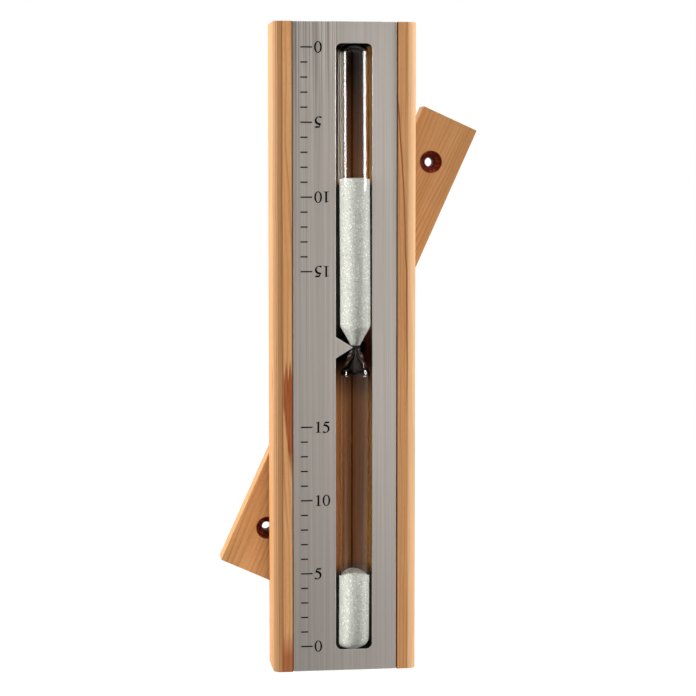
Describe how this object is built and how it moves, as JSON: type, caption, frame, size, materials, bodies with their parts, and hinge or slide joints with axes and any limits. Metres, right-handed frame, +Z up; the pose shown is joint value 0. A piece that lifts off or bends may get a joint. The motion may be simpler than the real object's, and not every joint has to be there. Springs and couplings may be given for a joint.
{
  "type": "sauna sand timer",
  "caption": "Wall-hung sandglass timer: a glass vial of sand in a grooved wooden housing behind a slotted steel scale plate, turned over on a pivot bolt in a wooden wall bar.",
  "frame": {"origin": "on the pivot's axis, in the plane of the wall that the bar's back lies on", "axes": "+Z up with the housing upright, +Y into the wall, +X to the right as seen from the front"},
  "size_m": [0.1298, 0.0399, 0.32],
  "materials": {
    "cedar_housing": "planed and sanded, raw",
    "cedar_bar": "planed, raw",
    "brushed_plate": "brushed along its length",
    "scale_ink": "screen printed",
    "vial_glass": "clear, drawn tube",
    "timer_sand": "fine grains",
    "end_pad_foam": "closed-cell foam",
    "plate_tape": "foam tape",
    "black_steel": "black oxide, oiled",
    "zinc_steel": "zinc plated",
    "spring_steel": "oiled",
    "sleeve_brass": "turned",
    "washer_nylon": "moulded",
    "nut_ring_nylon": "moulded"
  },
  "bodies": {
    "wall_mount": {"wall_bar": "cedar_bar", "friction_washer": "washer_nylon", "pivot_sleeve": "sleeve_brass", "disc_spring": "spring_steel", "head_washer": "black_steel", "pivot_bolt": "black_steel", "rear_washer": "zinc_steel", "lock_nut": "zinc_steel", "nut_insert": "nut_ring_nylon"},
    "timer": {"housing": "cedar_housing", "face_plate": "brushed_plate", "plate_tape_left": "plate_tape", "plate_tape_right": "plate_tape", "ticks_upper": "scale_ink", "ticks_lower": "scale_ink", "numerals_upper": "scale_ink", "numerals_lower": "scale_ink", "glass_vial": "vial_glass", "sand_upper": "timer_sand", "sand_lower": "timer_sand", "end_pad_top": "end_pad_foam", "end_pad_bottom": "end_pad_foam"}
  },
  "joints": [
    {"name": "timer_turn", "type": "hinge", "parent": "wall_mount", "child": "timer", "pos_m": [0, 0, 0], "axis": [0, -1, 0], "continuous": true}
  ]
}
